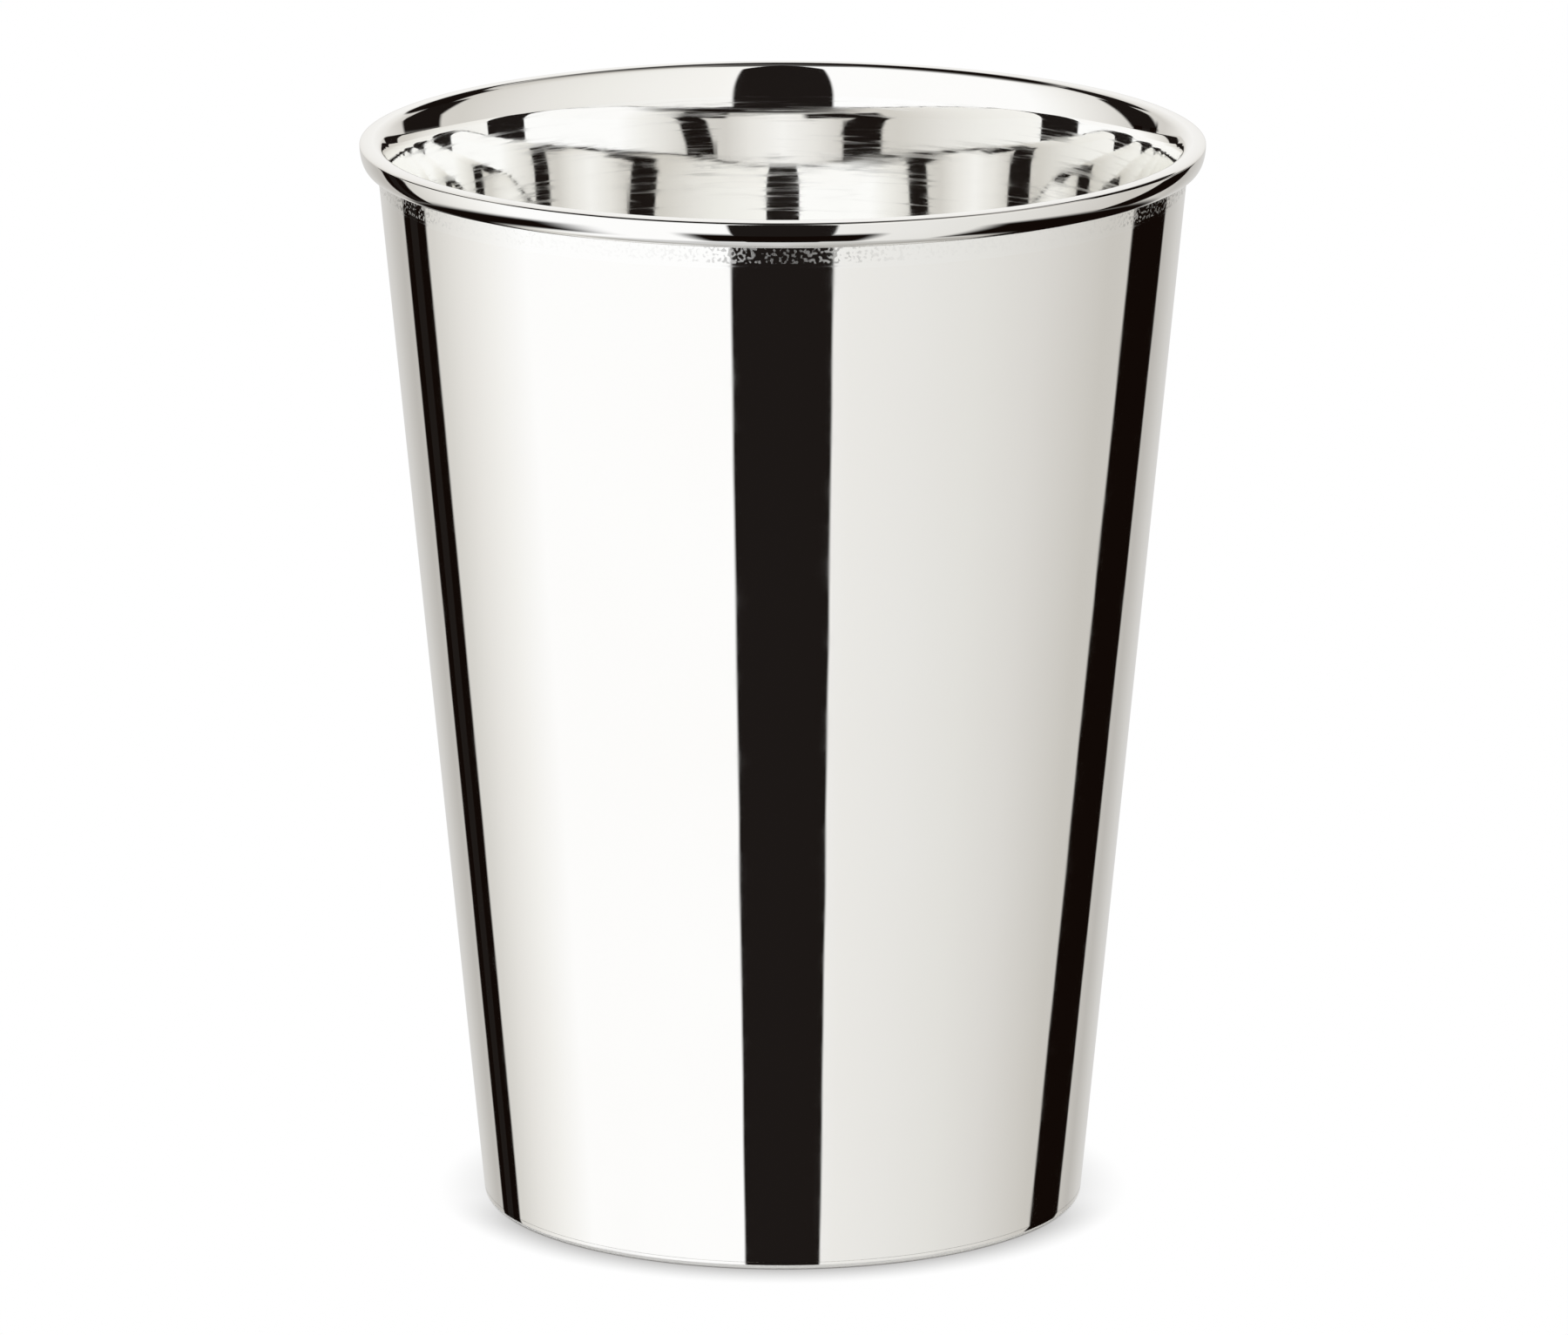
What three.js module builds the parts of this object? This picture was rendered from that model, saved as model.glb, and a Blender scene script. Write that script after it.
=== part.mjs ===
// Silver-plated beaker: a plain conical drinking cup with a beaded rim.
// Millimetres, +Z up. The origin is the centre of the circle that the cup stands on.
// A conical wall stands on a base disc and carries a half-round wire round its lip.
// Fillets of silver solder hold the three together.

import * as THREE from 'three';

// Driving dimensions
const HEIGHT = 100; // from the table to the top of the rim
const FOOT_DIAMETER = 55.8; // outside of the wall, carried down to the table
const MOUTH_DIAMETER = 74.9; // outside of the wall, carried up to the top of the rim
const WALL_THICKNESS = 1.15; // brass sheet of the wall
const LIP_ZONE_DEPTH = 22; // depth below the rim where the wall starts to thicken
const CREST_RADIUS = 1.1; // rounding of the lip's inside at the crest of the rim
const LIP_RADIUS = 6.6; // rounding of the lip's inside below the crest
const FLARE_RADIUS = 115; // slight flare of the wall's inside below the lip
const CREST_SLOPE = 30; // degrees that the lip's face looks up where the crest's rounding ends
const LIP_SLOPE = 7.6; // degrees that the lip's face looks up where the flare starts
const CREST_OVERHANG = 0.3; // crest of the rim outside the face of the wall, on the wire
const RIM_WIRE_HEIGHT = 2.4; // half-round wire, along the wall
const RIM_WIRE_NOSE = 1.1; // half-round wire, from the crest to its outermost line
const RIM_WIRE_TOP = 0.3; // depth of the outermost line below the crest
const RIM_WIRE_UNDER = 0.9; // rounding of the wire below its outermost line, inwards
const RIM_FILLET = 0.4; // solder under the wire
const BASE_THICKNESS = 0.7; // base disc
const BASE_FILLET = 1; // solder inside, between base and wall
const BASE_RISE = 0.8; // height that the middle of the base is pressed up
const STANDING_RING_WIDTH = 3; // flat ring that the cup stands on
const CORNER_RADIUS = 0.4; // rounding between the standing ring and the wall
const JOINT_GAP = 0.05; // soldering gap between two pieces

// How finely round shapes are divided
const SIDES = 64;
const CREST_STEPS = 5;
const LIP_STEPS = 5;
const FLARE_STEPS = 3;
const NOSE_STEPS = 6;
const CORNER_STEPS = 5;
const DISH_STEPS = 6;
const FILLET_STEPS = 4;

const QUARTER_TURN = Math.PI / 2;

// Outside of the cone, before its lower corner is rounded
const taper = (MOUTH_DIAMETER - FOOT_DIAMETER) / 2 / HEIGHT;
const taperAngle = Math.atan(taper);
const coneRadius = (z) => FOOT_DIAMETER / 2 + taper * z;
const innerRadius = (z) => coneRadius(z) - WALL_THICKNESS / Math.cos(taperAngle);

// The joint between base and wall, and the corner rounded over both.
// The rounding leaves at least half of the wall standing on the base.
const wallFoot = BASE_THICKNESS + JOINT_GAP;
const cornerLimit = WALL_THICKNESS / 2 + wallFoot + Math.sqrt(WALL_THICKNESS * wallFoot);
const cornerRadius = Math.min(CORNER_RADIUS, cornerLimit);
const cornerTop = cornerRadius * (1 - Math.sin(taperAngle));
const standingRadius = coneRadius(cornerRadius) - cornerRadius / Math.cos(taperAngle);

// The crest of the rim, where the inside of the lip and the nose of the wire meet
const crestRadius = MOUTH_DIAMETER / 2 + CREST_OVERHANG;
const wireFoot = HEIGHT - RIM_WIRE_HEIGHT;

// A list of steps + 1 values from first to last
function spread(first, last, steps) {
  return Array.from({ length: steps + 1 }, (_, i) => first + ((last - first) * i) / steps);
}

// A point on an ellipse, at an angle measured from the outward direction
function onEllipse(radius, z, width, height, angle) {
  return new THREE.Vector2(radius + width * Math.cos(angle), z + height * Math.sin(angle));
}

// Outside of the cup between two heights, from the lower to the upper
function outside(low, high) {
  const points = [];
  if (low < cornerTop) {
    const first = Math.asin(low / cornerRadius - 1);
    const last = Math.asin(Math.min(high, cornerTop) / cornerRadius - 1);
    const onCorner = (angle) => onEllipse(standingRadius, cornerRadius, cornerRadius, cornerRadius, angle);
    points.push(...spread(first, last, CORNER_STEPS).map(onCorner));
  } else {
    points.push(new THREE.Vector2(coneRadius(low), low));
  }
  if (high > cornerTop) {
    points.push(new THREE.Vector2(coneRadius(high), high));
  }
  return points;
}

// The lip's inside is three arcs that run into each other: crest, lip and flare.
// A place on them is the angle that the face looks up there, from a quarter turn at the crest.
const facing = (angle) => new THREE.Vector2(-Math.cos(angle), Math.sin(angle));
const onFace = (arc, angle) => arc.centre.clone().addScaledVector(facing(angle), arc.radius);

function arcBelow(arc, radius, end, steps) {
  const centre = arc.centre.clone().addScaledVector(facing(arc.end), arc.radius - radius);
  return { centre, radius, end, steps };
}

const crestArc = {
  centre: new THREE.Vector2(crestRadius, HEIGHT - CREST_RADIUS),
  radius: CREST_RADIUS,
  end: THREE.MathUtils.degToRad(CREST_SLOPE),
  steps: CREST_STEPS,
};
const lipArc = arcBelow(crestArc, LIP_RADIUS, THREE.MathUtils.degToRad(LIP_SLOPE), LIP_STEPS);
const flareArc = arcBelow(lipArc, FLARE_RADIUS, 0, FLARE_STEPS);

// Angle on the crest's arc at a given distance inside the crest
const crestAngle = (inset) => Math.acos(inset / CREST_RADIUS);

// Angle on an arc where the straight line from a point on the wall touches it
function touchAngle(arc, point) {
  const apart = point.clone().sub(arc.centre);
  return Math.atan2(apart.y, -apart.x) + Math.acos(arc.radius / apart.length());
}

// The lip's inside, from an angle near the crest down to where the line to a point on the wall leaves it
function lipFace(start, point) {
  const points = [];
  let first = start;
  for (const arc of [crestArc, lipArc, flareArc]) {
    const touch = touchAngle(arc, point);
    const last = Math.max(arc.end, touch);
    const face = spread(first, last, arc.steps).map((angle) => onFace(arc, angle));
    points.push(...(points.length ? face.slice(1) : face));
    if (touch > arc.end) {
      break;
    }
    first = last;
  }
  return points;
}

// A solid of revolution about Z. A profile that leaves the axis is closed on itself.
function revolve(name, profile, material) {
  const onAxis = profile[0].x === 0 && profile.at(-1).x === 0;
  const closed = onAxis ? profile : [...profile, profile[0].clone()];
  const mesh = new THREE.Mesh(new THREE.LatheGeometry(closed, SIDES), material);
  mesh.geometry.rotateX(QUARTER_TURN);
  mesh.name = name;
  return mesh;
}

function silverPlate() {
  return new THREE.MeshStandardMaterial({ color: 0xf0eeea, roughness: 0.05, metalness: 1 });
}

function silverSolder() {
  return new THREE.MeshStandardMaterial({ color: 0xe4e1da, roughness: 0.25, metalness: 1 });
}

// Conical wall: up the outside, over the lip and down the inside.
function sideWall() {
  const thickenFrom = new THREE.Vector2(innerRadius(HEIGHT - LIP_ZONE_DEPTH), HEIGHT - LIP_ZONE_DEPTH);
  const face = outside(wallFoot, wireFoot);
  const edge = lipFace(crestAngle(CREST_OVERHANG), thickenFrom);
  const foot = new THREE.Vector2(innerRadius(wallFoot), wallFoot);
  return revolve('side_wall', [...face, ...edge, thickenFrom, foot], silverPlate());
}

// Half-round wire: its flat back lies against the wall, and its top carries on the curve of the lip.
function rimWire() {
  const back = new THREE.Vector2(coneRadius(wireFoot) + JOINT_GAP, wireFoot);
  const noseLevel = HEIGHT - RIM_WIRE_TOP;
  const underRadius = crestRadius + RIM_WIRE_NOSE - RIM_WIRE_UNDER;
  const underHeight = RIM_WIRE_HEIGHT - RIM_WIRE_TOP;
  const onUnder = (angle) => onEllipse(underRadius, noseLevel, RIM_WIRE_UNDER, underHeight, angle);
  const onTop = (angle) => onEllipse(crestRadius, noseLevel, RIM_WIRE_NOSE, RIM_WIRE_TOP, angle);
  const under = spread(-QUARTER_TURN, 0, NOSE_STEPS).map(onUnder);
  const over = spread(0, QUARTER_TURN, NOSE_STEPS).map(onTop);
  const seam = onFace(crestArc, crestAngle(CREST_OVERHANG - JOINT_GAP));
  return revolve('rim_wire', [back, ...under, ...over.slice(1), seam], silverPlate());
}

// Hollow solder fillet in a corner. The corner point is on the wall, and the two arms run
// outwards or inwards along the other piece, and up or down along the wall.
function fillet(name, corner, reach, rise, wallRadius) {
  const tip = new THREE.Vector2(wallRadius(corner.y + rise), corner.y + rise);
  const heel = new THREE.Vector2(corner.x + reach, corner.y);
  const onArc = (angle) => onEllipse(heel.x, tip.y, tip.x - heel.x, heel.y - tip.y, angle);
  const arc = spread(0, QUARTER_TURN, FILLET_STEPS).map(onArc);
  return revolve(name, [corner, ...arc], silverSolder());
}

function rimSolder() {
  const wallRadius = (z) => coneRadius(z) + JOINT_GAP;
  const top = wireFoot - JOINT_GAP;
  const corner = new THREE.Vector2(wallRadius(top), top);
  return fillet('rim_solder', corner, RIM_FILLET, -RIM_FILLET, wallRadius);
}

function baseSolder() {
  const wallRadius = (z) => innerRadius(z) - JOINT_GAP;
  const corner = new THREE.Vector2(wallRadius(wallFoot), wallFoot);
  return fillet('base_solder', corner, -BASE_FILLET, BASE_FILLET, wallRadius);
}

// Base disc: a flat standing ring, a middle that is pressed up, and a rounded edge under the wall.
function basePlate() {
  const dishRadius = standingRadius - STANDING_RING_WIDTH;
  const dish = (level) => spread(0, dishRadius, DISH_STEPS).map(
    (radius) => new THREE.Vector2(
      radius,
      level + (BASE_RISE * (1 + Math.cos((Math.PI * radius) / dishRadius))) / 2,
    ),
  );
  const edge = outside(0, BASE_THICKNESS);
  const profile = [...dish(0), ...edge, ...dish(BASE_THICKNESS).reverse()];
  return revolve('base_plate', profile, silverPlate());
}

const beaker = new THREE.Group();
beaker.add(sideWall(), rimWire(), rimSolder(), basePlate(), baseSolder());

export default beaker;
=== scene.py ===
"""Looks of a silver-plated beaker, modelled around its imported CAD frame."""

import math
from collections import namedtuple

import bmesh
import bpy
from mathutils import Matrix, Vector


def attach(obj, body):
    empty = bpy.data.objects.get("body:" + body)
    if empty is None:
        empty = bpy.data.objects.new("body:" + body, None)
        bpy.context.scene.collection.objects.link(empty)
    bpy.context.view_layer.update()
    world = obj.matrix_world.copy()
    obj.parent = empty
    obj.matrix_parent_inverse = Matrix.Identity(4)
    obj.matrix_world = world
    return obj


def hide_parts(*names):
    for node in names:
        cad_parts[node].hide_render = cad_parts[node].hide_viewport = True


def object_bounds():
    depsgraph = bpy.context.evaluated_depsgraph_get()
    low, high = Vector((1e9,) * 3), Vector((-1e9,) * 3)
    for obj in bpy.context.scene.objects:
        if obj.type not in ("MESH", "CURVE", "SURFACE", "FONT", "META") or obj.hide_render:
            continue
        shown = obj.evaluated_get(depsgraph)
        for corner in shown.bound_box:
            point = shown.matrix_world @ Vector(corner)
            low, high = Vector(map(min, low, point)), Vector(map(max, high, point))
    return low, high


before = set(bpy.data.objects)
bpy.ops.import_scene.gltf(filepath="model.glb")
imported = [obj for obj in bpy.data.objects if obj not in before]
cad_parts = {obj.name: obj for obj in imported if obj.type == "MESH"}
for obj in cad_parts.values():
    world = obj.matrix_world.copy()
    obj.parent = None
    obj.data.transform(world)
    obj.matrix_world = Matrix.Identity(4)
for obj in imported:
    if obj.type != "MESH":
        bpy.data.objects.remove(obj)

bl_info = {
    "name": "Silver-plated beaker",
    "version": (1, 0, 0),
    "blender": (4, 5, 0),
    "location": "View3D > Sidebar > Beaker",
    "description": "Models a plain silver-plated beaker and the studio that it stands in",
    "category": "Add Mesh",
}

MM = 0.001
CAD_BOX = [list(corner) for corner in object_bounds()]
CAD_HEIGHT = CAD_BOX[1][2]

# Light runs round the inside of the wall in many reflections.
MIRROR_BOUNCES = 24

# The photograph's frame in pixels, and Blender's usual sensor
PHOTO_WIDTH = 1800
SENSOR_WIDTH = 36.0

# The camera's clipping, in metres
NEAREST_SEEN = 0.01
FARTHEST_SEEN = 100

# How finely the spun pieces are divided
ROUND_STEPS = 256
LIP_STEPS = 14
NOSE_STEPS = 24
CORNER_STEPS = 14
FILLET_STEPS = 8
DISH_STEPS = 24
STRAIGHT_STEP = 8 * MM
EDGE_SUPPORT = 0.25 * MM
MERGE_DISTANCE = 0.001 * MM
SMOOTH_ANGLE = math.radians(35)

QUARTER_TURN = math.pi / 2

# The brushed band below the wire, and a line scribed under it, as depths below the wire
BRUSHED_DEPTH = 1.65 * MM
BRUSHED_EDGE = 0.1 * MM
SCRIBED_DEPTH = 1.97 * MM
SCRIBED_WIDTH = 0.12 * MM
SCRIBED_WEAR = 0.2

# Sizes of the patterns in the metal, in millimetres. The scratches of the mop and of the brush and the
# grain of the solder are really a few hundredths of a millimetre wide: they are drawn coarser, to show.
TONING_SIZE = 25
HAZE_SIZE = 3
WAVE_SIZE = 16
HOOP_LENGTH = 9
HOOP_SPACING = 0.35
BRUSH_GRAIN = 0.3
SOLDER_GRAIN = 0.4

# How high these patterns stand
WAVE_RELIEF = 0.03 * MM
HOOP_RELIEF = 0.0002 * MM
BRUSH_RELIEF = 0.0005 * MM

# Sockets of the node that mixes two colours
MIX_FIRST = 6
MIX_SECOND = 7
MIX_RESULT = 2

# The studio is a light tent. Directions in it are in degrees: azimuth from the camera, positive to the
# right, and elevation. Its panels are whitest in front on the left, and greyest beside the gaps at the back.
PANEL_TONES = (
    (-180, "#f6f5f3"), (-160, "#e8e6e2"), (-146, "#d2cfca"), (-122, "#d6d4cf"), (-110, "#e5e3df"),
    (-95, "#f3f2ef"), (-80, "#ffffff"), (0, "#ffffff"), (20, "#f7f6f3"), (40, "#f3f2ef"), (60, "#eeede9"),
    (80, "#e6e4e0"), (110, "#d3d0ca"), (146, "#d2cfca"), (160, "#e8e6e2"), (180, "#f6f5f3"),
)

# Dark gaps between the panels, and zones that get less light. Lean is the azimuth that a gap gains with
# each degree of elevation, and depth is 1 for a gap that is quite dark.
Gap = namedtuple("Gap", "azimuth half_width edge lean lowest highest fade depth")
GAPS = {
    "camera slit": Gap(-0.1, 14.9, 0.6, 0, -62, 100, 2, 0.9935),
    "front of the left gap": Gap(-128.5, 3.2, 0.8, 0, -32, 9, 3, 1),
    "back of the left gap": Gap(-138.2, 2.9, 0.8, 0, -32, 9, 3, 1),
    "middle of the left gap": Gap(-133.2, 4, 0.8, 0, -32, 9, 3, 0.988),
    "upper left gap": Gap(-136, 8.6, 1.3, 0.6, 4, 26, 1, 0.993),
    "top of the left gap": Gap(-131, 15, 2, 0, 24, 47, 1, 0.993),
    "right gap": Gap(132.5, 11.8, 1.2, 0, 2, 17, 3, 0.993),
    "upper right gap": Gap(143.5, 12, 1.3, -0.8, 12, 26, 1, 0.993),
    "top of the right gap": Gap(142.5, 24, 3, 0, 24, 44, 1, 0.997),
    "foot of the right gap": Gap(155.3, 10, 0.8, 1.42, -32, -8, 3, 1),
    "top of the tent": Gap(0, 200, 1, 0, 78, 101, 4, 0.9),
    "front of the table": Gap(0, 30, 5, 0, -60, -33, 4, 1),
    "left of the table": Gap(-114, 48, 14, 0, -50, -29, 4, 1),
    "right of the table": Gap(115, 52, 8, 0, -60, -29, 4, 1),
    "table under the beaker": Gap(0, 200, 1, 0, -100, -62, 5, 0.38),
    "back panels near the table": Gap(180, 45, 12, 0, -100, -2, 8, 0.22),
    "right panel near the table": Gap(65, 60, 12, 0, -100, -2, 8, 0.1),
}

# The table's shadow is painted into its colour, not cast: it is full in front of the foot, and faint beside
# and
# behind it: places along Y where it is full and where it is faint, and how strong it is there
PAINTED_SHADOW_FRONT = -15 * MM
PAINTED_SHADOW_SIDE = -3 * MM
PAINTED_SHADOW_FAINT = 0.35
PAINTED_SHADOW_SAMPLES = 16

# The dark ceiling behind the tent: direction of its middle, and where its shade is full and where it ends
CEILING_AZIMUTH = -155
CEILING_ELEVATION = 52
CEILING_INNER = 18
CEILING_OUTER = 50
CEILING_FOOT = 46
CEILING_FOOT_FADE = 5


def linear_colour(hex_code):
    """Linear red, green and blue of an sRGB hex colour."""
    channels = [int(hex_code[i:i + 2], 16) / 255 for i in (1, 3, 5)]
    return tuple(c / 12.92 if c <= 0.04045 else ((c + 0.055) / 1.055) ** 2.4 for c in channels)


def a_size(label, description, millimetres):
    """A size in metres, shown in the user's units."""
    return bpy.props.FloatProperty(
        name=label, description=description, default=millimetres * MM, min=0, unit="LENGTH", precision=5,
    )


def an_angle(label, description, degrees):
    """An angle, shown in degrees."""
    return bpy.props.FloatProperty(
        name=label, description=description, default=math.radians(degrees), subtype="ANGLE",
    )


def a_colour(label, description, hex_code):
    """A colour with its swatch."""
    return bpy.props.FloatVectorProperty(
        name=label, description=description, default=linear_colour(hex_code), subtype="COLOR", min=0, max=1,
    )


class BeakerSizes(bpy.types.PropertyGroup):
    """Sizes of the beaker's pieces."""

    height: bpy.props.FloatProperty(
        name="Height", description="From the table to the top of the rim",
        default=CAD_HEIGHT, min=0, unit="LENGTH", precision=5,
    )
    foot_diameter: a_size("Foot diameter", "Outside of the wall, carried down to the table", 55.8)
    mouth_diameter: a_size("Mouth diameter", "Outside of the wall, carried up to the rim", 74.9)
    wall_thickness: a_size("Wall thickness", "Sheet of the wall", 1.15)
    lip_zone_depth: a_size("Lip zone depth", "Depth below the rim where the wall starts to thicken", 22)
    crest_radius: a_size("Crest radius", "Rounding of the lip's inside at the crest", 1.1)
    lip_radius: a_size("Lip radius", "Rounding of the lip's inside below the crest", 6.6)
    flare_radius: a_size("Flare radius", "Slight flare of the wall's inside below the lip", 115)
    crest_slope: an_angle("Crest slope", "How far the face looks up where the crest's rounding ends", 30)
    lip_slope: an_angle("Lip slope", "How far the face looks up where the flare starts", 7.6)
    crest_overhang: a_size("Crest overhang", "Crest of the rim outside the face of the wall", 0.3)
    wire_height: a_size("Wire height", "Half-round wire, along the wall", 2.4)
    wire_nose: a_size("Wire nose", "Half-round wire, from the crest to its outermost line", 1.1)
    wire_top: a_size("Wire top", "Depth of the outermost line below the crest", 0.3)
    wire_under: a_size("Wire under", "Rounding of the wire below its outermost line, inwards", 0.9)
    rim_fillet: a_size("Rim fillet", "Solder under the wire", 0.4)
    brushed_band: a_size("Brushed band", "Band below the wire with the brushing and the scribed line", 2.2)
    base_thickness: a_size("Base thickness", "Sheet of the base disc", 0.7)
    base_fillet: a_size("Base fillet", "Solder inside, between base and wall", 1)
    base_rise: a_size("Base rise", "Height that the middle of the base is pressed up", 0.8)
    standing_ring_width: a_size("Standing ring width", "Flat ring that the cup stands on", 3)
    corner_radius: a_size("Corner radius", "Rounding between the standing ring and the wall", 0.4)
    foot_gap: a_size("Foot gap", "Open line of the joint between base and wall", 0.02)
    solder_bite: a_size("Solder bite", "How deep a fillet runs into the metal on both sides", 0.02)


class BeakerFinish(bpy.types.PropertyGroup):
    """Colours of the beaker's metal."""

    silver: a_colour("Silver", "Bright silver plate", "#fefefd")
    warm_silver: a_colour("Warm silver", "Silver plate where it is handled and faintly toned", "#fcfbf9")
    solder: a_colour("Solder", "Silver solder under the plate", "#f7f5f1")


class StudioSettings(bpy.types.PropertyGroup):
    """Camera, table and colours of the studio."""

    camera_elevation: an_angle("Camera elevation", "Height of the camera above the beaker's middle", 13.674)
    camera_distance: a_size("Camera distance", "From the middle of the beaker to the camera", 1102.5)
    focal_pixels: bpy.props.FloatProperty(
        name="Focal length", description="Focal length in pixels of the photograph", default=13637.4,
        subtype="PIXEL",
    )
    aim_right: bpy.props.FloatProperty(
        name="Aim right", description="Aim of the camera to the right of the axis", default=0.12 * MM,
        unit="LENGTH", precision=5,
    )
    aim_up: bpy.props.FloatProperty(
        name="Aim up", description="Aim of the camera above the middle of the beaker", default=-0.03 * MM,
        unit="LENGTH", precision=5,
    )
    table_width: a_size("Table width", "Side of the white table top", 4000)
    # Reach of the shadow painted on the table round the foot
    shadow_reach: a_size("Shadow reach", "How far the shadow spreads from the beaker's foot", 4.5)
    near_reach: a_size("Near reach", "How far from the foot the metal mirrors the table", 0.9)
    table: a_colour("Table", "White table top", "#ffffff")
    # Colour of the painted shadow, mixed into the table top's colour close to the foot
    shadow: a_colour("Shadow", "Table top where the beaker keeps the light off", "#6e6b68")
    gap: a_colour("Gap", "Dark room seen between the panels", "#110a07")


class Outline:
    """The half section of the beaker: points of radius and height, in metres."""

    def __init__(self, sizes):
        self.sizes = sizes
        self.taper = (sizes.mouth_diameter - sizes.foot_diameter) / 2 / sizes.height
        self.tilt = math.atan(self.taper)
        self.wall_foot = sizes.base_thickness + sizes.foot_gap
        self.standing_radius = self.cone(sizes.corner_radius) - sizes.corner_radius / math.cos(self.tilt)
        self.crest = sizes.mouth_diameter / 2 + sizes.crest_overhang
        self.wire_foot = sizes.height - sizes.wire_height
        crest_centre = (self.crest, sizes.height - sizes.crest_radius)
        self.crest_arc = FaceArc(crest_centre, sizes.crest_radius, sizes.crest_slope)
        self.lip_arc = arc_below(self.crest_arc, sizes.lip_radius, sizes.lip_slope)
        self.flare_arc = arc_below(self.lip_arc, sizes.flare_radius, 0)

    def cone(self, z):
        """Radius of the wall's outside."""
        return self.sizes.foot_diameter / 2 + self.taper * z

    def bore(self, z):
        """Radius of the wall's inside, below the lip."""
        return self.cone(z) - self.sizes.wall_thickness / math.cos(self.tilt)

    def rounded_corner(self):
        """From the standing ring round to the straight outside of the cone."""
        radius = self.sizes.corner_radius
        return arc((self.standing_radius, radius), radius, radius, -QUARTER_TURN, -self.tilt, CORNER_STEPS)

    def crest_angle(self, inset):
        """Angle on the crest's rounding at a distance inside the crest."""
        return math.acos(inset / self.sizes.crest_radius)

    def thick_point(self):
        """Where the wall's inside starts to thicken towards the lip."""
        z = self.sizes.height - self.sizes.lip_zone_depth
        return (self.bore(z), z)

    def lip_face(self):
        """The lip's inside, from the joint at the crest to where the straight line of the wall leaves it."""
        points = []
        first = self.crest_angle(self.sizes.crest_overhang)
        for face_arc in (self.crest_arc, self.lip_arc, self.flare_arc):
            touch = touch_angle(face_arc, self.thick_point())
            last = max(face_arc.end, touch)
            points += [on_face(face_arc, angle) for angle in spread(first, last, LIP_STEPS)][bool(points):]
            if touch > face_arc.end:
                break
            first = last
        return points

    def wall(self):
        """Up the outside, over the lip and down the inside."""
        sizes = self.sizes
        thick = self.thick_point()
        lip = self.lip_face()
        band_foot = self.wire_foot - sizes.brushed_band
        outer_foot = (self.cone(self.wall_foot), self.wall_foot)
        band = (self.cone(band_foot), band_foot)
        points = [outer_foot] + rows(outer_foot, band) + [band] + rows(band, lip[0]) + lip
        points += rows(lip[-1], thick) + [thick]
        foot = (self.bore(self.wall_foot), self.wall_foot)
        points += rows(thick, foot) + [foot]
        return points

    def wire(self):
        """The flat back against the wall, and the rounded nose."""
        sizes = self.sizes
        nose_level = sizes.height - sizes.wire_top
        under_centre = (self.crest + sizes.wire_nose - sizes.wire_under, nose_level)
        under_height = sizes.wire_height - sizes.wire_top
        under = arc(under_centre, sizes.wire_under, under_height, -QUARTER_TURN, 0, NOSE_STEPS)
        over = arc((self.crest, nose_level), sizes.wire_nose, sizes.wire_top, 0, QUARTER_TURN, NOSE_STEPS)
        seam = spread(QUARTER_TURN, self.crest_angle(sizes.crest_overhang), FILLET_STEPS)
        back = (self.cone(self.wire_foot), self.wire_foot)
        return [back] + under + over[1:] + [on_face(self.crest_arc, angle) for angle in seam[1:]]

    def rim_fillet(self):
        """Solder in the corner under the wire."""
        sizes = self.sizes
        top = self.wire_foot + sizes.solder_bite
        tip_z = self.wire_foot - sizes.rim_fillet
        tip = (self.cone(tip_z) - sizes.solder_bite, tip_z)
        corner = (self.cone(top) - sizes.solder_bite, top)
        return hollow_fillet(corner, tip, (self.cone(top) + sizes.rim_fillet, top))

    def base_fillet(self):
        """Solder in the inside corner between base and wall."""
        sizes = self.sizes
        low = sizes.base_thickness - sizes.solder_bite
        tip_z = self.wall_foot + sizes.base_fillet
        tip = (self.bore(tip_z) + sizes.solder_bite, tip_z)
        corner = (self.bore(low) + sizes.solder_bite, low)
        return hollow_fillet(corner, tip, (self.bore(low) - sizes.base_fillet, low))

    def base(self):
        """Along the underside, up the rounded edge and back along the top, from axis to axis."""
        sizes = self.sizes
        dish_radius = self.standing_radius - sizes.standing_ring_width
        radii = spread(0, dish_radius, DISH_STEPS)

        def dish(level):
            return [
                (radius, level + sizes.base_rise * (1 + math.cos(math.pi * radius / dish_radius)) / 2)
                for radius in radii
            ]

        edge = self.rounded_corner()
        edge.append((self.cone(sizes.base_thickness), sizes.base_thickness))
        upper = dish(sizes.base_thickness)
        return dish(0) + edge + upper[::-1]


# An arc of the lip's inside: a place on it is the angle that the face looks up there, and end is the last.
FaceArc = namedtuple("FaceArc", "centre radius end")


def on_face(face_arc, angle):
    """A point on an arc of the lip's inside."""
    return inward(face_arc.centre, face_arc.radius, angle)


def inward(start, distance, angle):
    """A point at a distance towards the axis and up by an angle."""
    return (start[0] - distance * math.cos(angle), start[1] + distance * math.sin(angle))


def arc_below(face_arc, radius, end):
    """An arc that carries on smoothly where another ends."""
    return FaceArc(inward(face_arc.centre, face_arc.radius - radius, face_arc.end), radius, end)


def touch_angle(face_arc, point):
    """Angle on an arc where the straight line from a point on the wall touches it."""
    across = face_arc.centre[0] - point[0]
    up = point[1] - face_arc.centre[1]
    return math.atan2(up, across) + math.acos(face_arc.radius / math.hypot(across, up))


def spread(first, last, steps):
    """Evenly spaced values from first to last."""
    return [first + (last - first) * i / steps for i in range(steps + 1)]


def on_arc(centre, width, height, angle):
    """A point on an ellipse, at an angle measured from the outward direction."""
    return (centre[0] + width * math.cos(angle), centre[1] + height * math.sin(angle))


def arc(centre, width, height, first, last, steps):
    """Points along part of an ellipse."""
    return [on_arc(centre, width, height, angle) for angle in spread(first, last, steps)]


def hollow_fillet(corner, tip, heel):
    """A corner, and the hollow curve of solder from the tip on the wall to the heel."""
    hollow = arc((heel[0], tip[1]), tip[0] - heel[0], heel[1] - tip[1], 0, QUARTER_TURN, FILLET_STEPS)
    return [corner] + hollow


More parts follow.
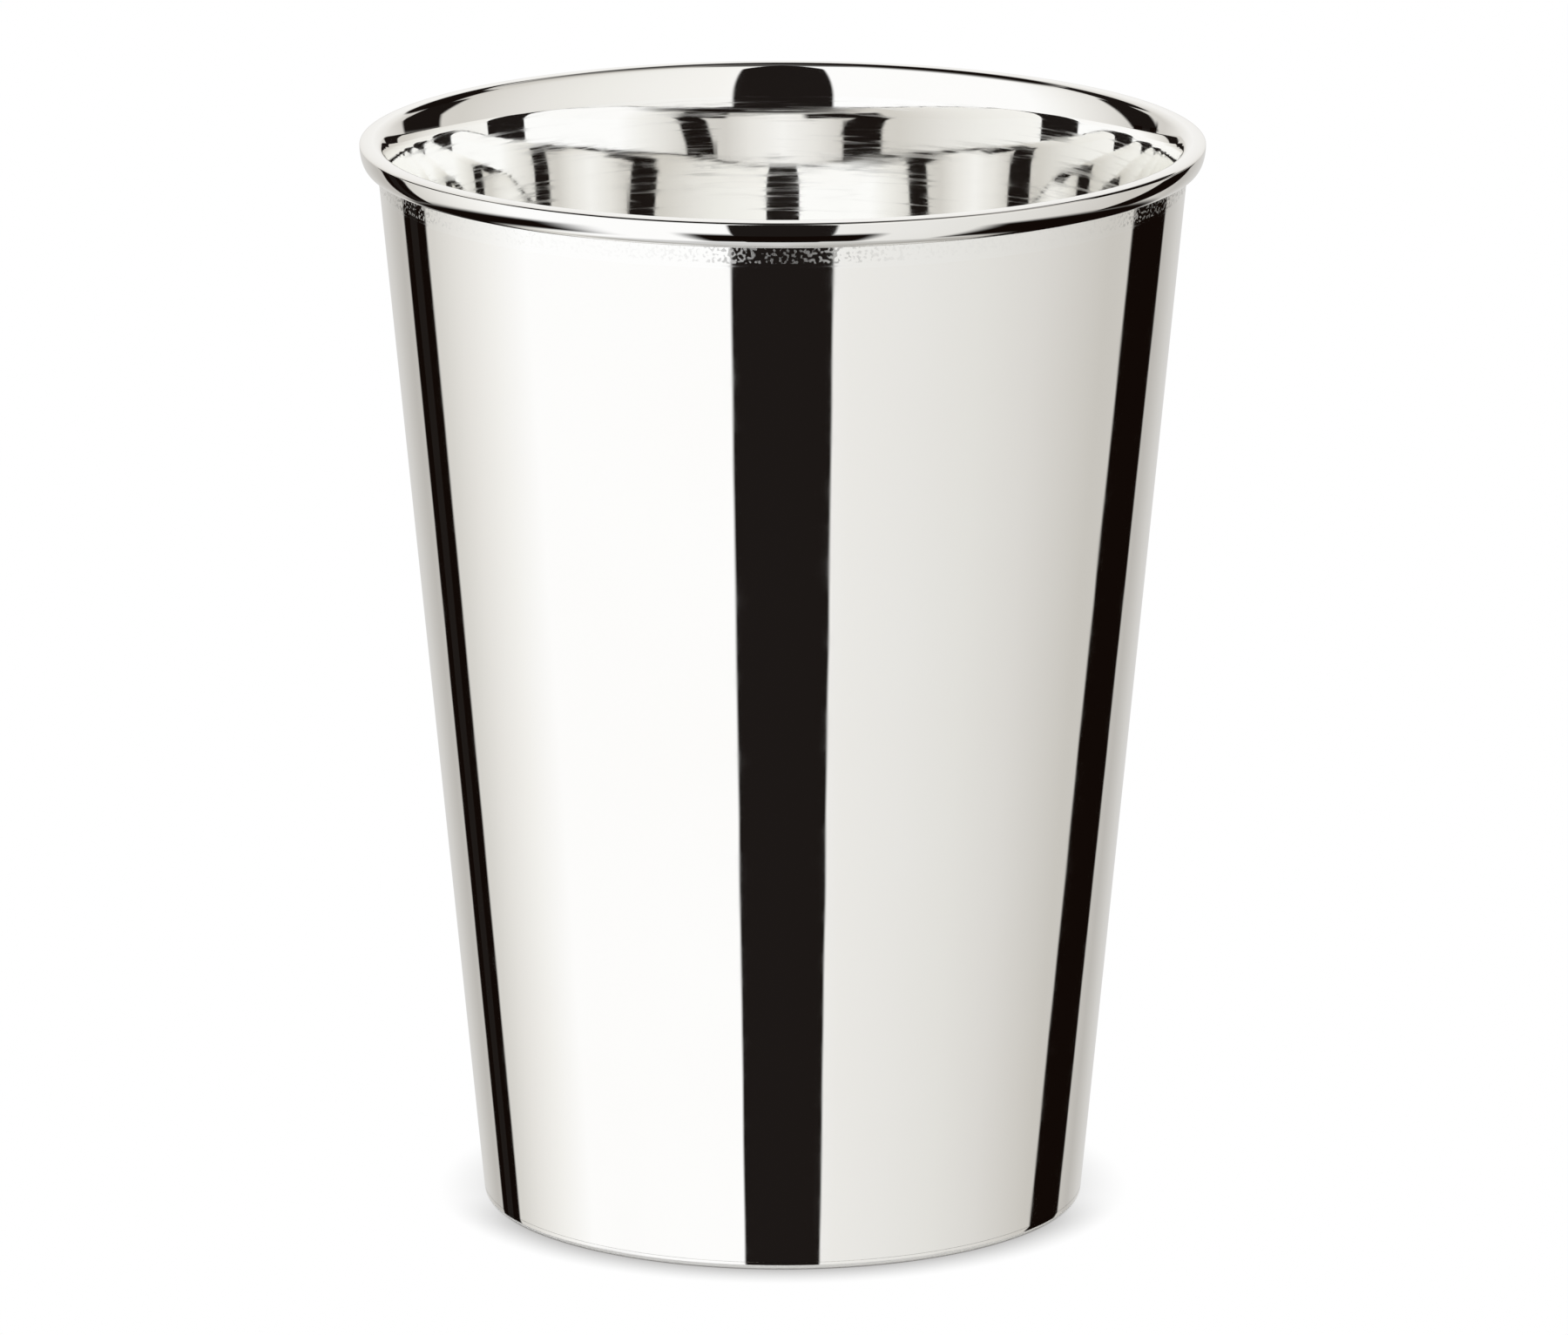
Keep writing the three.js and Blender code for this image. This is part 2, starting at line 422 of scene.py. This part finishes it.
def rows(start, end):
    """Points inside a straight stretch, with one close to each end to keep the curves beside it smooth."""
    run = math.dist(start, end)
    count = max(1, round(run / STRAIGHT_STEP))
    shares = [EDGE_SUPPORT / run] + [i / count for i in range(1, count)] + [1 - EDGE_SUPPORT / run]
    return [
        (start[0] + (end[0] - start[0]) * share, start[1] + (end[1] - start[1]) * share)
        for share in shares
    ]


def spin_piece(name, outline, closed):
    """Draws a half section by extruding a vertex from point to point, and spins it about the axis."""
    bpy.ops.object.select_all(action="DESELECT")
    bpy.ops.mesh.primitive_plane_add(size=MM, location=(outline[0][0], 0, outline[0][1]))
    piece = bpy.context.object
    piece.name = name
    piece.data.name = name
    bpy.ops.object.transform_apply(location=True, rotation=False, scale=False)
    bpy.ops.object.mode_set(mode="EDIT")
    bpy.ops.mesh.select_all(action="SELECT")
    bpy.ops.mesh.merge(type="CENTER")
    bpy.ops.mesh.select_mode(type="VERT")
    for here, there in zip(outline, outline[1:]):
        step = (there[0] - here[0], 0, there[1] - here[1])
        bpy.ops.mesh.extrude_region_move(TRANSFORM_OT_translate={"value": step})
    if closed:
        select_ends(piece, outline)
        bpy.ops.mesh.edge_face_add()
    bpy.ops.mesh.select_all(action="SELECT")
    bpy.ops.mesh.spin(steps=ROUND_STEPS, angle=math.tau, center=(0, 0, 0), axis=(0, 0, 1))
    bpy.ops.mesh.select_all(action="SELECT")
    bpy.ops.mesh.remove_doubles(threshold=MERGE_DISTANCE)
    bpy.ops.mesh.normals_make_consistent(inside=False)
    bpy.ops.object.mode_set(mode="OBJECT")
    bpy.ops.object.shade_smooth_by_angle(angle=SMOOTH_ANGLE)
    return piece


def select_ends(piece, outline):
    """Selects only the first and last vertex of a drawn section."""
    mesh = bmesh.from_edit_mesh(piece.data)
    ends = [Vector((point[0], 0, point[1])) for point in (outline[0], outline[-1])]
    for vertex in mesh.verts:
        vertex.select = any((vertex.co - end).length < MERGE_DISTANCE for end in ends)
    mesh.select_flush_mode()
    bmesh.update_edit_mesh(piece.data)


def finish_faces(piece, material, chosen):
    """Gives the faces that the chosen test picks a further material."""
    piece.data.materials.append(material)
    piece.active_material_index = len(piece.data.materials) - 1
    bpy.ops.object.mode_set(mode="EDIT")
    bpy.ops.mesh.select_mode(type="FACE")
    bpy.ops.mesh.select_all(action="DESELECT")
    mesh = bmesh.from_edit_mesh(piece.data)
    for face in mesh.faces:
        face.select = chosen(face)
    bmesh.update_edit_mesh(piece.data)
    bpy.ops.object.material_slot_assign()
    bpy.ops.mesh.select_mode(type="VERT")
    bpy.ops.object.mode_set(mode="OBJECT")


def add_node(tree, kind, settings=None, inputs=None):
    """Adds a node, sets its attributes, and sets or links its inputs."""
    node = tree.nodes.new(kind)
    for attribute, value in (settings or {}).items():
        setattr(node, attribute, value)
    for socket, value in (inputs or {}).items():
        if isinstance(value, bpy.types.NodeSocket):
            tree.links.new(value, node.inputs[socket])
        else:
            node.inputs[socket].default_value = value
    return node


def new_material(name):
    """An empty node material with its output node."""
    material = bpy.data.materials.new(name)
    material.use_nodes = True
    material.node_tree.nodes.clear()
    output = add_node(material.node_tree, "ShaderNodeOutputMaterial")
    return material, material.node_tree, output


def per_size(millimetres):
    """Scale of a pattern whose features have a size in millimetres."""
    return 1 / (millimetres * MM)


def polished_silver_plate(finish):
    """Silver plate on brass, polished on a soft wheel: a clear mirror with the faint waves of sheet."""
    material, tree, output = new_material("polished silver plate")
    place = add_node(tree, "ShaderNodeTexCoord").outputs["Object"]
    toning = add_node(tree, "ShaderNodeTexNoise", inputs={
        "Vector": place, "Scale": per_size(TONING_SIZE), "Detail": 3.0,
    })
    metal = add_node(tree, "ShaderNodeMix", {"data_type": "RGBA"}, {
        "Factor": toning.outputs["Fac"],
        MIX_FIRST: (*finish.silver, 1),
        MIX_SECOND: (*finish.warm_silver, 1),
    })
    haze = add_node(tree, "ShaderNodeTexNoise", inputs={
        "Vector": place, "Scale": per_size(HAZE_SIZE), "Detail": 6.0,
    })
    roughness = add_node(tree, "ShaderNodeMapRange", inputs={
        "Value": haze.outputs["Fac"], "From Min": 0.3, "From Max": 0.7, "To Min": 0.01, "To Max": 0.05,
    })
    waves = add_node(tree, "ShaderNodeTexNoise", inputs={
        "Vector": place, "Scale": per_size(WAVE_SIZE), "Detail": 1.0,
    })
    bump = add_node(tree, "ShaderNodeBump", inputs={
        "Height": waves.outputs["Fac"], "Distance": WAVE_RELIEF, "Strength": 1.0,
    })
    shader = add_node(tree, "ShaderNodeBsdfPrincipled", inputs={
        "Base Color": metal.outputs[MIX_RESULT],
        "Metallic": 1.0,
        "Roughness": roughness.outputs["Result"],
        "Normal": bump.outputs["Normal"],
    })
    tree.links.new(shader.outputs["BSDF"], output.inputs["Surface"])
    return material


def mopped_silver_plate(finish):
    """Silver plate inside the cup, polished with a turning mop: a mirror with fine hoops of scratches."""
    material, tree, output = new_material("mopped silver plate")
    place = add_node(tree, "ShaderNodeTexCoord").outputs["Object"]
    along = add_node(tree, "ShaderNodeMapping", inputs={
        "Vector": place, "Scale": (per_size(HOOP_LENGTH), per_size(HOOP_LENGTH), per_size(HOOP_SPACING)),
    })
    hoops = add_node(tree, "ShaderNodeTexNoise", inputs={
        "Vector": along.outputs["Vector"], "Scale": 1.0, "Detail": 4.0, "Distortion": 0.6,
    })
    roughness = add_node(tree, "ShaderNodeMapRange", inputs={
        "Value": hoops.outputs["Fac"], "From Min": 0.5, "From Max": 0.7, "To Min": 0.02, "To Max": 0.12,
    })
    bump = add_node(tree, "ShaderNodeBump", inputs={
        "Height": hoops.outputs["Fac"], "Distance": HOOP_RELIEF, "Strength": 1.0,
    })
    shader = add_node(tree, "ShaderNodeBsdfPrincipled", inputs={
        "Base Color": (*finish.silver, 1),
        "Metallic": 1.0,
        "Roughness": roughness.outputs["Result"],
        "Normal": bump.outputs["Normal"],
    })
    tree.links.new(shader.outputs["BSDF"], output.inputs["Surface"])
    return material


def scratch_brushed_silver_plate(finish, outline):
    """Silver plate cleaned with a wire brush beside the solder: a sparkling band and a fine line."""
    material, tree, output = new_material("scratch-brushed silver plate")
    place = add_node(tree, "ShaderNodeTexCoord").outputs["Object"]
    height = add_node(tree, "ShaderNodeSeparateXYZ", inputs={"Vector": place}).outputs["Z"]
    depth = add_node(tree, "ShaderNodeMath", {"operation": "SUBTRACT"}, {0: outline.wire_foot, 1: height})
    grain = add_node(tree, "ShaderNodeTexNoise", inputs={
        "Vector": place, "Scale": per_size(BRUSH_GRAIN), "Detail": 0.0,
    })
    brushed = add_node(tree, "ShaderNodeMapRange", inputs={
        "Value": depth.outputs[0], "From Min": BRUSHED_DEPTH + BRUSHED_EDGE, "From Max": BRUSHED_DEPTH,
    })
    off_line = add_node(tree, "ShaderNodeMath", {"operation": "SUBTRACT"}, {
        0: depth.outputs[0], 1: SCRIBED_DEPTH,
    })
    off_line = add_node(tree, "ShaderNodeMath", {"operation": "ABSOLUTE"}, {0: off_line.outputs[0]})
    line = add_node(tree, "ShaderNodeMapRange", inputs={
        "Value": off_line.outputs[0], "From Min": SCRIBED_WIDTH, "From Max": 0.0,
    })
    specks = add_node(tree, "ShaderNodeMapRange", inputs={
        "Value": grain.outputs["Fac"],
        "From Min": 0.5,
        "From Max": 0.64,
        "To Max": brushed.outputs["Result"],
    })
    scribed = add_node(tree, "ShaderNodeMath", {"operation": "MULTIPLY"}, {
        0: line.outputs["Result"], 1: SCRIBED_WEAR,
    })
    worn = add_node(tree, "ShaderNodeMath", {"operation": "MAXIMUM"}, {
        0: specks.outputs["Result"], 1: scribed.outputs[0],
    })
    roughness = add_node(tree, "ShaderNodeMapRange", inputs={
        "Value": worn.outputs[0], "To Min": 0.03, "To Max": 0.19,
    })
    bump = add_node(tree, "ShaderNodeBump", inputs={
        "Height": grain.outputs["Fac"], "Distance": BRUSH_RELIEF, "Strength": brushed.outputs["Result"],
    })
    around = add_node(tree, "ShaderNodeTangent", {"direction_type": "RADIAL", "axis": "Z"})
    shader = add_node(tree, "ShaderNodeBsdfPrincipled", inputs={
        "Base Color": (*finish.silver, 1),
        "Metallic": 1.0,
        "Roughness": roughness.outputs["Result"],
        "Anisotropic": 0.9,
        "Normal": bump.outputs["Normal"],
        "Tangent": around.outputs["Tangent"],
    })
    tree.links.new(shader.outputs["BSDF"], output.inputs["Surface"])
    return material


def silver_solder(finish):
    """Silver solder that ran into the corner and was plated over: satin, with a fine grain."""
    material, tree, output = new_material("silver solder")
    place = add_node(tree, "ShaderNodeTexCoord").outputs["Object"]
    grain = add_node(tree, "ShaderNodeTexNoise", inputs={
        "Vector": place, "Scale": per_size(SOLDER_GRAIN), "Detail": 3.0,
    })
    roughness = add_node(tree, "ShaderNodeMapRange", inputs={
        "Value": grain.outputs["Fac"], "From Min": 0.3, "From Max": 0.7, "To Min": 0.15, "To Max": 0.35,
    })
    shader = add_node(tree, "ShaderNodeBsdfPrincipled", inputs={
        "Base Color": (*finish.solder, 1),
        "Metallic": 1.0,
        "Roughness": roughness.outputs["Result"],
    })
    tree.links.new(shader.outputs["BSDF"], output.inputs["Surface"])
    return material


def white_table_top(studio):
    """Matt white board with a painted shadow close round the beaker's foot. The metal mirrors it only close
    by.
    """
    material, tree, output = new_material("white table top")
    light_path = add_node(tree, "ShaderNodeLightPath")
    # Painted shadow: an ambient occlusion node darkens the colour that the camera sees close round the foot
    shade = add_node(tree, "ShaderNodeAmbientOcclusion", {"samples": PAINTED_SHADOW_SAMPLES}, {
        "Distance": studio.shadow_reach,
    })
    place = add_node(tree, "ShaderNodeTexCoord").outputs["Object"]
    along = add_node(tree, "ShaderNodeSeparateXYZ", inputs={"Vector": place}).outputs["Y"]
    strength = add_node(tree, "ShaderNodeMapRange", {"interpolation_type": "SMOOTHSTEP"}, {
        "Value": along,
        "From Min": PAINTED_SHADOW_FRONT,
        "From Max": PAINTED_SHADOW_SIDE,
        "To Min": 1.0,
        "To Max": PAINTED_SHADOW_FAINT,
    })
    hidden = add_node(tree, "ShaderNodeMath", {"operation": "SUBTRACT"}, {0: 1.0, 1: shade.outputs["AO"]})
    shadow = add_node(tree, "ShaderNodeMath", {"operation": "MULTIPLY"}, {
        0: hidden.outputs[0], 1: strength.outputs["Result"],
    })
    # The painted shadow mixes the shadow colour into the white that the camera sees
    tone = add_node(tree, "ShaderNodeMix", {"data_type": "RGBA"}, {
        "Factor": shadow.outputs[0], MIX_FIRST: (*studio.table, 1), MIX_SECOND: (*studio.shadow, 1),
    })
    seen = add_node(tree, "ShaderNodeEmission", inputs={"Color": tone.outputs[MIX_RESULT], "Strength": 1.0})
    lit = add_node(tree, "ShaderNodeBsdfDiffuse", inputs={"Color": (*studio.table, 1)})
    board = add_node(tree, "ShaderNodeMixShader", inputs={
        "Fac": light_path.outputs["Is Camera Ray"], 1: lit.outputs["BSDF"], 2: seen.outputs["Emission"],
    })
    far = add_node(tree, "ShaderNodeMath", {"operation": "GREATER_THAN"}, {
        0: light_path.outputs["Ray Length"], 1: studio.near_reach,
    })
    unseen = add_node(tree, "ShaderNodeMath", {"operation": "MULTIPLY"}, {
        0: light_path.outputs["Is Glossy Ray"], 1: far.outputs[0],
    })
    clear = add_node(tree, "ShaderNodeBsdfTransparent")
    top = add_node(tree, "ShaderNodeMixShader", inputs={
        "Fac": unseen.outputs[0], 1: board.outputs["Shader"], 2: clear.outputs["BSDF"],
    })
    tree.links.new(top.outputs["Shader"], output.inputs["Surface"])
    return material


def gap_darkness(tree, gap, azimuth, elevation):
    """The depth of a gap of the tent inside it, and 0 outside it."""
    lean = add_node(tree, "ShaderNodeMath", {"operation": "MULTIPLY"}, {0: elevation, 1: gap.lean})
    turned = add_node(tree, "ShaderNodeMath", {"operation": "SUBTRACT"}, {0: azimuth, 1: lean.outputs[0]})
    centred = add_node(tree, "ShaderNodeMath", {"operation": "SUBTRACT"}, {
        0: turned.outputs[0], 1: gap.azimuth,
    })
    wrapped = add_node(tree, "ShaderNodeMath", {"operation": "WRAP"}, {
        0: centred.outputs[0], 1: 180.0, 2: -180.0,
    })
    aside = add_node(tree, "ShaderNodeMath", {"operation": "ABSOLUTE"}, {0: wrapped.outputs[0]})
    smooth = {"interpolation_type": "SMOOTHSTEP"}
    across = add_node(tree, "ShaderNodeMapRange", smooth, {
        "Value": aside.outputs[0],
        "From Min": gap.half_width + gap.edge,
        "From Max": gap.half_width - gap.edge,
    })
    above = add_node(tree, "ShaderNodeMapRange", smooth, {
        "Value": elevation, "From Min": gap.lowest - gap.fade, "From Max": gap.lowest + gap.fade,
    })
    below = add_node(tree, "ShaderNodeMapRange", smooth, {
        "Value": elevation, "From Min": gap.highest + gap.fade, "From Max": gap.highest - gap.fade,
    })
    upright = add_node(tree, "ShaderNodeMath", {"operation": "MULTIPLY"}, {
        0: above.outputs["Result"], 1: below.outputs["Result"],
    })
    both = add_node(tree, "ShaderNodeMath", {"operation": "MULTIPLY"}, {
        0: upright.outputs[0], 1: across.outputs["Result"],
    })
    shade = add_node(tree, "ShaderNodeMath", {"operation": "MULTIPLY"}, {0: both.outputs[0], 1: gap.depth})
    return shade.outputs[0]


def ceiling_darkness(tree, direction, height):
    """1 in the middle of the dark ceiling above the back panels, and 0 outside it."""
    azimuth = math.radians(CEILING_AZIMUTH)
    elevation = math.radians(CEILING_ELEVATION)
    level = math.cos(elevation)
    axis = (level * math.sin(azimuth), -level * math.cos(azimuth), math.sin(elevation))
    nearness = add_node(tree, "ShaderNodeVectorMath", {"operation": "DOT_PRODUCT"}, {0: direction, 1: axis})
    opening = add_node(tree, "ShaderNodeMapRange", {"interpolation_type": "SMOOTHSTEP"}, {
        "Value": nearness.outputs["Value"],
        "From Min": math.cos(math.radians(CEILING_OUTER)),
        "From Max": math.cos(math.radians(CEILING_INNER)),
    })
    above = add_node(tree, "ShaderNodeMapRange", {"interpolation_type": "SMOOTHSTEP"}, {
        "Value": height,
        "From Min": CEILING_FOOT - CEILING_FOOT_FADE,
        "From Max": CEILING_FOOT + CEILING_FOOT_FADE,
    })
    both = add_node(tree, "ShaderNodeMath", {"operation": "MULTIPLY"}, {
        0: opening.outputs["Result"], 1: above.outputs["Result"],
    })
    return both.outputs[0]


def panel_tone(tree, azimuth):
    """Brightness of the tent's panels by azimuth."""
    turn = add_node(tree, "ShaderNodeMapRange", inputs={
        "Value": azimuth, "From Min": -180.0, "From Max": 180.0,
    })
    tones = add_node(tree, "ShaderNodeValToRGB", inputs={"Fac": turn.outputs["Result"]})
    stops = tones.color_ramp.elements
    while len(stops) < len(PANEL_TONES):
        stops.new(0.5)
    for stop, (degrees, hex_code) in zip(stops, PANEL_TONES):
        stop.position = (degrees + 180) / 360
        stop.color = (*linear_colour(hex_code), 1)
    return tones.outputs["Color"]


def light_tent(studio):
    """World of soft white panels with dark gaps between them, and plain white behind the beaker."""
    world = bpy.data.worlds.new("light_tent")
    world.use_nodes = True
    tree = world.node_tree
    tree.nodes.clear()
    direction = add_node(tree, "ShaderNodeTexCoord").outputs["Generated"]
    axes = add_node(tree, "ShaderNodeSeparateXYZ", inputs={"Vector": direction})
    forward = add_node(tree, "ShaderNodeMath", {"operation": "MULTIPLY"}, {0: axes.outputs["Y"], 1: -1.0})
    turn = add_node(tree, "ShaderNodeMath", {"operation": "ARCTAN2"}, {
        0: axes.outputs["X"], 1: forward.outputs[0],
    })
    azimuth = add_node(tree, "ShaderNodeMath", {"operation": "DEGREES"}, {0: turn.outputs[0]}).outputs[0]
    rise = add_node(tree, "ShaderNodeMath", {"operation": "ARCSINE"}, {0: axes.outputs["Z"]})
    elevation = add_node(tree, "ShaderNodeMath", {"operation": "DEGREES"}, {0: rise.outputs[0]}).outputs[0]
    dark = ceiling_darkness(tree, direction, elevation)
    for gap in GAPS.values():
        here = gap_darkness(tree, gap, azimuth, elevation)
        dark = add_node(tree, "ShaderNodeMath", {"operation": "MAXIMUM"}, {0: dark, 1: here}).outputs[0]
    tent = add_node(tree, "ShaderNodeMix", {"data_type": "RGBA"}, {
        "Factor": dark, MIX_FIRST: panel_tone(tree, azimuth), MIX_SECOND: (*studio.gap, 1),
    })
    light_path = add_node(tree, "ShaderNodeLightPath")
    seen = add_node(tree, "ShaderNodeMix", {"data_type": "RGBA"}, {
        "Factor": light_path.outputs["Is Camera Ray"],
        MIX_FIRST: tent.outputs[MIX_RESULT],
        MIX_SECOND: (*studio.table, 1),
    })
    light = add_node(tree, "ShaderNodeBackground", inputs={
        "Color": seen.outputs[MIX_RESULT], "Strength": 1.0,
    })
    add_node(tree, "ShaderNodeOutputWorld", inputs={"Surface": light.outputs["Background"]})
    return world


def finish_piece(piece, node, material):
    """Gives a piece its material, hangs it under the root body, and hides the CAD node that it stands for.
    """
    piece.data.materials.clear()
    piece.data.materials.append(material)
    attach(piece, "root")
    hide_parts(node)


def shared_material(make, settings):
    """A material that several pieces share, made on first use."""
    name = make.__name__.replace("_", " ")
    return bpy.data.materials.get(name) or make(settings)


class BEAKER_OT_side_wall(bpy.types.Operator):
    """Model the conical wall with its rounded lip"""

    bl_idname = "beaker.side_wall"
    bl_label = "Side wall"

    def execute(self, context):
        finish = context.scene.beaker_finish
        outline = Outline(context.scene.beaker_sizes)
        wall = spin_piece("conical_wall", outline.wall(), closed=True)
        finish_piece(wall, "side_wall", shared_material(polished_silver_plate, finish))
        lip_foot = on_face(outline.lip_arc, outline.lip_arc.end)[1]
        band_foot = outline.wire_foot - outline.sizes.brushed_band

        def inside_below_lip(face):
            middle = face.calc_center_median()
            return face.normal.xy.dot(middle.xy) < 0 and middle.z < lip_foot

        def outside_on_band(face):
            middle = face.calc_center_median()
            return face.normal.xy.dot(middle.xy) > 0 and middle.z > band_foot

        finish_faces(wall, shared_material(mopped_silver_plate, finish), inside_below_lip)
        finish_faces(wall, scratch_brushed_silver_plate(finish, outline), outside_on_band)
        return {"FINISHED"}


class BEAKER_OT_rim_wire(bpy.types.Operator):
    """Model the half-round wire round the lip"""

    bl_idname = "beaker.rim_wire"
    bl_label = "Rim wire"

    def execute(self, context):
        finish = context.scene.beaker_finish
        outline = Outline(context.scene.beaker_sizes)
        wire = spin_piece("half_round_wire", outline.wire(), closed=True)
        finish_piece(wire, "rim_wire", shared_material(polished_silver_plate, finish))
        return {"FINISHED"}


class BEAKER_OT_base_plate(bpy.types.Operator):
    """Model the base disc with its pressed middle and rounded edge"""

    bl_idname = "beaker.base_plate"
    bl_label = "Base plate"

    def execute(self, context):
        finish = context.scene.beaker_finish
        outline = Outline(context.scene.beaker_sizes)
        base = spin_piece("base_disc", outline.base(), closed=False)
        finish_piece(base, "base_plate", shared_material(polished_silver_plate, finish))
        return {"FINISHED"}


class BEAKER_OT_solder_fillets(bpy.types.Operator):
    """Model the fillets of silver solder under the wire and inside the base"""

    bl_idname = "beaker.solder_fillets"
    bl_label = "Solder fillets"

    def execute(self, context):
        finish = context.scene.beaker_finish
        outline = Outline(context.scene.beaker_sizes)
        fillets = [
            ("wire_solder", outline.rim_fillet(), "rim_solder"),
            ("foot_solder", outline.base_fillet(), "base_solder"),
        ]
        for name, section, node in fillets:
            fillet = spin_piece(name, section, closed=True)
            finish_piece(fillet, node, shared_material(silver_solder, finish))
        return {"FINISHED"}


class BEAKER_OT_studio(bpy.types.Operator):
    """Set up the floor, the light and the camera"""

    bl_idname = "beaker.studio"
    bl_label = "Studio"

    def execute(self, context):
        scene = context.scene
        studio = scene.beaker_studio
        middle = Vector((0, 0, scene.beaker_sizes.height / 2))
        back = Vector((0, -math.cos(studio.camera_elevation), math.sin(studio.camera_elevation)))
        bpy.ops.object.camera_add(location=middle + back * studio.camera_distance)
        camera = context.object
        camera.name = "studio_camera"
        aim = middle + Vector((studio.aim_right, 0, studio.aim_up))
        camera.rotation_euler = (aim - camera.location).to_track_quat("-Z", "Y").to_euler()
        camera.data.sensor_width = SENSOR_WIDTH
        camera.data.sensor_fit = "HORIZONTAL"
        camera.data.lens = studio.focal_pixels * SENSOR_WIDTH / PHOTO_WIDTH
        camera.data.clip_start = NEAREST_SEEN
        camera.data.clip_end = FARTHEST_SEEN
        scene.camera = camera
        bpy.ops.mesh.primitive_plane_add(size=studio.table_width)
        table = context.object
        table.name = "table_floor"
        table.data.materials.append(white_table_top(studio))
        scene.world = light_tent(studio)
        scene.view_settings.view_transform = "Standard"
        scene.cycles.max_bounces = MIRROR_BOUNCES
        scene.cycles.glossy_bounces = MIRROR_BOUNCES
        return {"FINISHED"}


class BEAKER_PT_parts(bpy.types.Panel):
    """Sizes of the beaker and buttons for its pieces"""

    bl_idname = "BEAKER_PT_parts"
    bl_label = "Silver-plated beaker"
    bl_space_type = "VIEW_3D"
    bl_region_type = "UI"
    bl_category = "Beaker"

    def draw(self, context):
        layout = self.layout
        scene = context.scene
        for group in (scene.beaker_sizes, scene.beaker_finish, scene.beaker_studio):
            for key in group.__annotations__:
                layout.prop(group, key)
        for operator in OPERATORS:
            layout.operator(operator.bl_idname)


OPERATORS = (
    BEAKER_OT_side_wall,
    BEAKER_OT_rim_wire,
    BEAKER_OT_base_plate,
    BEAKER_OT_solder_fillets,
    BEAKER_OT_studio,
)
CLASSES = (BeakerSizes, BeakerFinish, StudioSettings, *OPERATORS, BEAKER_PT_parts)


def register():
    """Registers the classes and their settings."""
    for cls in CLASSES:
        bpy.utils.register_class(cls)
    bpy.types.Scene.beaker_sizes = bpy.props.PointerProperty(type=BeakerSizes)
    bpy.types.Scene.beaker_finish = bpy.props.PointerProperty(type=BeakerFinish)
    bpy.types.Scene.beaker_studio = bpy.props.PointerProperty(type=StudioSettings)


def unregister():
    """Removes the settings and the classes."""
    del bpy.types.Scene.beaker_studio
    del bpy.types.Scene.beaker_finish
    del bpy.types.Scene.beaker_sizes
    for cls in reversed(CLASSES):
        bpy.utils.unregister_class(cls)


def main():
    """Models the beaker and its studio."""
    register()
    bpy.ops.beaker.side_wall()
    bpy.ops.beaker.rim_wire()
    bpy.ops.beaker.base_plate()
    bpy.ops.beaker.solder_fillets()
    bpy.ops.beaker.studio()


if __name__ == "__main__":
    main()
